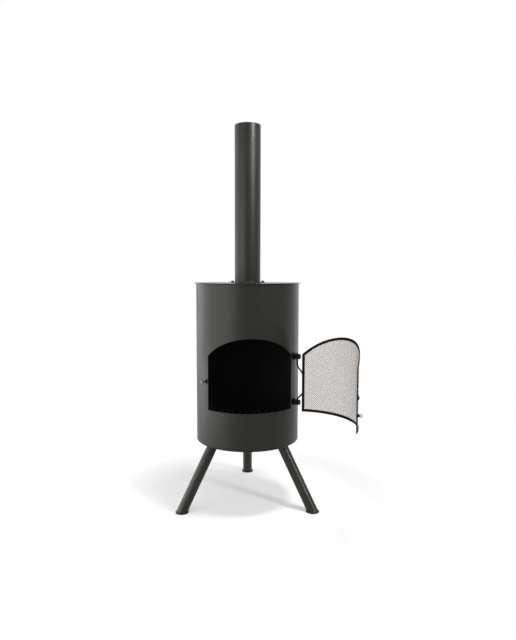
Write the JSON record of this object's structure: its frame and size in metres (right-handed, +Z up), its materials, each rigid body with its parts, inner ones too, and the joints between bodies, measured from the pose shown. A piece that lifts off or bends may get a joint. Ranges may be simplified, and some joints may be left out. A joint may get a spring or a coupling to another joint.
{
  "type": "outdoor fireplace",
  "caption": "Free-standing outdoor fireplace: round steel drum on splayed tube legs, bolted chimney, arched doorway, swinging mesh door with hook latch, and a loose fire grate inside.",
  "frame": {"origin": "on the ground under the drum's axis", "axes": "+Z up along the drum and chimney, -Y out of the middle of the doorway, +X to the hinge side"},
  "size_m": [0.6354, 0.7448, 1.4595],
  "materials": {
    "stove_paint": "satin heat-proof anthracite paint",
    "hinge_black": "satin black paint",
    "mesh_wire": "plain expanded steel, lightly dulled",
    "pull_steel": "blackened steel",
    "dark_fasteners": "black oxide",
    "zinc_fasteners": "zinc plated, sooted",
    "bare_plug_steel": "bare turned steel",
    "sooted_steel": "burnt and sooted",
    "grate_iron": "burnt, matt"
  },
  "bodies": {
    "drum": {"drum_shell": "stove_paint", "drum_floor": "sooted_steel", "lid_plate": "stove_paint", "chimney_pipe": "stove_paint", "chimney_flange": "stove_paint", "chimney_bolts": "dark_fasteners", "chimney_washers": "dark_fasteners", "chimney_nuts": "zinc_fasteners", "hinge_post_upper": "hinge_black", "hinge_post_lower": "hinge_black", "hinge_post_nuts": "zinc_fasteners", "catch_stud": "stove_paint", "catch_nut": "zinc_fasteners", "leg_front_left": "stove_paint", "leg_plug_front_left": "bare_plug_steel", "foot_front_left": "stove_paint", "leg_front_right": "stove_paint", "leg_plug_front_right": "bare_plug_steel", "foot_front_right": "stove_paint", "leg_rear": "stove_paint", "leg_plug_rear": "bare_plug_steel", "foot_rear": "stove_paint", "leg_bolts": "zinc_fasteners", "leg_washers": "zinc_fasteners"},
    "door": {"door_frame": "hinge_black", "door_mesh": "mesh_wire", "hinge_rod_upper": "hinge_black", "hinge_rod_lower": "hinge_black", "latch_rivet": "hinge_black", "pull_eye": "pull_steel"},
    "latch": {"latch_hook": "hinge_black"},
    "grate": {"grate_ring": "grate_iron", "grate_bars": "grate_iron", "grate_feet": "grate_iron"}
  },
  "joints": [
    {"name": "door_swing", "type": "hinge", "parent": "drum", "child": "door", "pos_m": [0.18037, -0.11141, 0.391], "axis": [0, 0, 1], "range_deg": [-113.5, 51.5]},
    {"name": "latch_turn", "type": "hinge", "parent": "door", "child": "latch", "pos_m": [0.33034, -0.4179, 0.495], "axis": [0.8812, -0.4727, 0], "range_deg": [-25, 50]},
    {"name": "grate_lift", "type": "slide", "parent": "drum", "child": "grate", "axis": [0, 0, 1], "range_m": [0, 0.08]}
  ]
}
